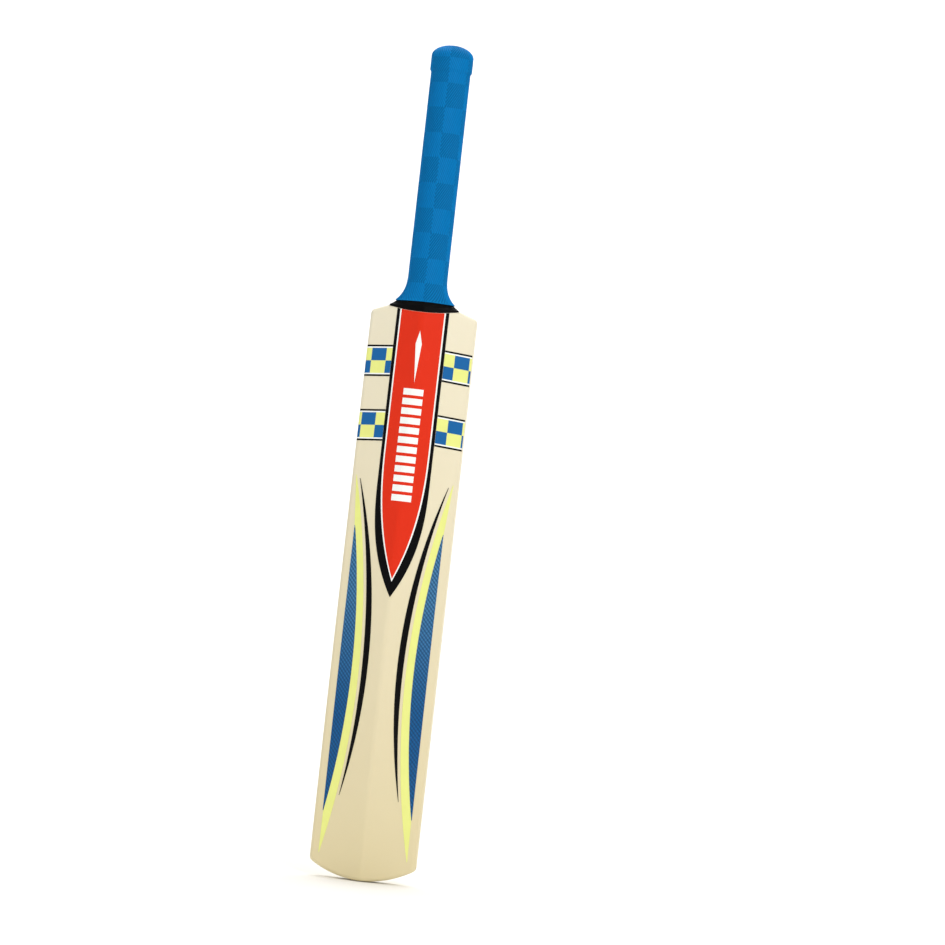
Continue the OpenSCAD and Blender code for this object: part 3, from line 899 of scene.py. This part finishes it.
def buildBand(side, n):
    b = bandShape
    edge = halfWidth - filmShape["edge"]
    inner = spineShape["half"] + filmShape["gap"]
    columns = [inner, *b["columns"][side, n], edge]
    check = (b["height"] - 2 * (b["line"] + b["white"])) / 2
    rows = np.cumsum([0, b["line"], b["white"], check, check, b["white"], b["line"]])
    first = b["drops"][n] - b["height"] / 2
    strips = []
    for r in range(len(rows) - 1):
        for c in range(len(columns) - 1):
            if r in (0, 5):
                material = 0
            elif r in (1, 4):
                material = 1
            else:
                material = 2 if (r + c) % 2 == 0 else 3
            across = np.linspace(columns[c], columns[c + 1], 8)
            drop = first + np.linspace(rows[r], rows[r + 1], 4)[:, None]
            z = zShoulder - drop - (across[None, :] - inner) * math.tan(math.radians(b["slope"]))
            strips.append((z, across, material))
    points, faces, indices = [], [], []
    for z, across, material in strips:
        x = side * np.broadcast_to(across[None, :], z.shape)
        y = backY(x, z, filmShape["thick"])
        start = sum(len(p) for p in points)
        points.append(np.stack([x, y, z], -1).reshape(-1, 3))
        made = gridFaces(*z.shape, start=start)
        faces += made
        indices += [material] * len(made)
    name = ("upper", "lower")[n] + ("Left", "Right")[side > 0]
    node = "check_film_" + ("upper", "lower")[n] + ("_left", "_right")[side > 0]
    film = makePiece("checkFilm" + name[0].upper() + name[1:], np.concatenate(points), faces,
                     [inkBlack, inkWhite, inkYellow, inkCheckBlue], node, indices)
    finishFilm(film, filmShape["thick"])


def arcThrough(points):
    p, q, s = (np.array(a, float) for a in points)
    a, b = q - p, s - p
    d = 2 * (a[0] * b[1] - a[1] * b[0])
    centre = p + np.array([b[1] * (a @ a) - a[1] * (b @ b), a[0] * (b @ b) - b[0] * (a @ a)]) / d
    radius = np.linalg.norm(centre - p)
    side = np.sign(centre[1] - q[1])
    return lambda drop: centre[1] - side * np.sqrt(radius ** 2 - (drop - centre[0]) ** 2)


def buildFlashes(side):
    f = flashShape
    word = ("Left", "Right")[side > 0]
    blueIn, yellowIn = arcThrough(f["blueIn"]), arcThrough(f["yellowIn"])
    blackOut, blackIn = arcThrough(f["blackOut"]), arcThrough(f["blackIn"])
    b0, b1 = f["blueIn"][0][0], f["blueIn"][2][0]
    y0, y1 = f["yellowIn"][0][0], f["yellowIn"][2][0]
    k0, k1 = f["blackOut"][0][0], f["blackOut"][2][0]
    xBlue = f["blueIn"][0][1] + f["tip"]

    drops = np.linspace(b0, b1, f["rows"])
    films = [("blueFlash", drops, blueIn(drops), np.full(f["rows"], xBlue), inkBlue, "film_blue")]
    drops = np.unique(np.concatenate([
        np.linspace(y0, b0, f["endRows"]), np.linspace(b0, b1, f["rows"]),
        np.linspace(b1, y1, f["endRows"])]))
    outer = np.interp(drops, [y0, b0], [f["yellowIn"][0][1] + f["tip"], xBlue])
    outer = np.where(drops > b0, blueIn(np.clip(drops, b0, b1)) - filmShape["gap"], outer)
    below = np.interp(drops, [b1, y1], [xBlue - f["tip"], f["yellowIn"][2][1] + f["tip"]])
    outer = np.where(drops > b1, below, outer)
    inner = np.minimum(yellowIn(drops), outer - f["least"])
    films.append(("yellowFlash", drops, inner, outer, inkYellow, "film_yellow"))
    drops = np.linspace(k0, k1, f["rows"])
    films.append(("blackFlash", drops, blackIn(drops), blackOut(drops), inkBlack, "film_black"))
    for name, drops, inner, outer, ink, slotName in films:
        left, right = (inner, outer) if side > 0 else (-outer, -inner)
        points, faces, indices = drapedStrips([(zShoulder - drops, left, right, 0)], 0, filmShape["thick"])
        node = name.replace("Flash", "_flash_") + word.lower()
        film = makePiece(name + word, points, faces, [ink], node, indices)
        finishFilm(film, filmShape["thick"])


buildSpine()
for side in (-1, 1):
    for n in (0, 1):
        buildBand(side, n)
    buildFlashes(side)
print("stage: films")

# Pieces inside the handle keep their CAD shape


# Turned beech: pale, with close darker flecks along the grain
def turnedBeech():
    made, tree, shader = startMaterial("turnedBeech", IOR=1.5, Roughness=0.62)
    place = addNode(tree, "ShaderNodeTexCoord").outputs["Object"]
    stretch = addNode(tree, "ShaderNodeMapping", inputs={"Vector": place, "Scale": (1.0, 1.0, 0.06)})
    grain = addNode(tree, "ShaderNodeTexNoise", inputs={
        "Vector": stretch.outputs["Vector"], "Scale": 1 / (1.5 * mm), "Detail": 5.0})
    tint = addNode(tree, "ShaderNodeMix", {"data_type": "RGBA"}, {"Factor": grain.outputs["Fac"]})
    tint.inputs["A"].default_value = linearHex("#C79A66")
    tint.inputs["B"].default_value = linearHex("#DDB886")
    tree.links.new(tint.outputs["Result"], shader.inputs["Base Color"])
    return made


# Injection-moulded polypropylene: satin, with a very fine mottle
def mouldedPolypropylene():
    made, tree, shader = startMaterial("mouldedPolypropylene", IOR=1.49, Roughness=0.5)
    place = addNode(tree, "ShaderNodeTexCoord").outputs["Object"]
    mottle = addNode(tree, "ShaderNodeTexNoise", inputs={"Vector": place, "Scale": 1 / (2 * mm)})
    tint = addNode(tree, "ShaderNodeMix", {"data_type": "RGBA"}, {"Factor": mottle.outputs["Fac"]})
    tint.inputs["A"].default_value = linearHex("#333335")
    tint.inputs["B"].default_value = linearHex("#3B3B3D")
    tree.links.new(tint.outputs["Result"], shader.inputs["Base Color"])
    return made


for node, material in (("handle_stiffener", turnedBeech()), ("handle_end_plug", mouldedPolypropylene())):
    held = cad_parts[node]
    held.data.materials.clear()
    held.data.materials.append(material)
print("stage: inner pieces")
